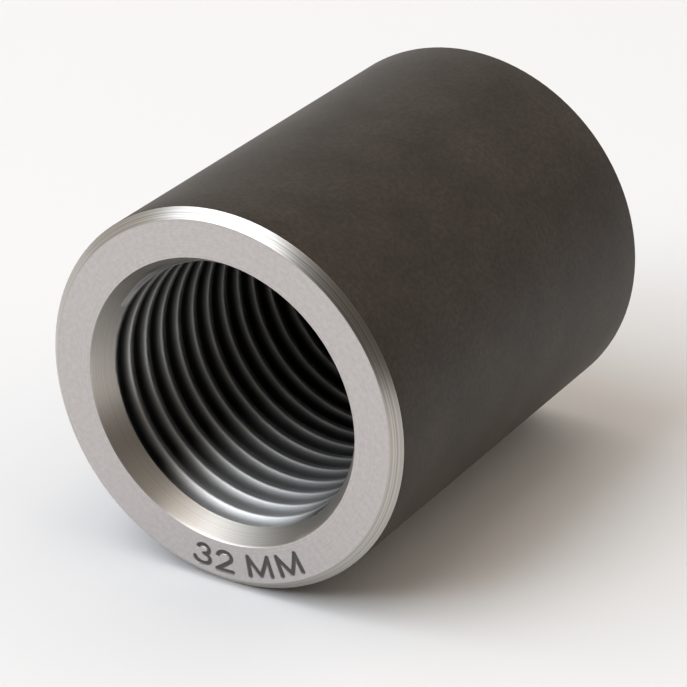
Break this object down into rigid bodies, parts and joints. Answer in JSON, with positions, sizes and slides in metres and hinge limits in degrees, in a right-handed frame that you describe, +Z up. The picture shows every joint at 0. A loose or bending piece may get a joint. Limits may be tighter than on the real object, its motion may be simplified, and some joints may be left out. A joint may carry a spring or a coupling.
{
  "type": "rebar coupler",
  "caption": "Round steel sleeve with a coarse right-hand thread all through its bore and countersunk, chamfered ends. It screws onto reinforcing bars to join them end to end.",
  "frame": {"origin": "centre of the lower end face, on the axis of the bore", "axes": "+Z up the bore from the lower end to the upper, marked end; -Y is the side that the picture's view comes from"},
  "size_m": [0.048, 0.048, 0.06],
  "materials": {
    "steel": "dark satin skin outside, turned bright on the ends, rims and countersinks, cut thread inside"
  },
  "bodies": {
    "root": {"coupler_sleeve": "steel"}
  },
  "joints": []
}
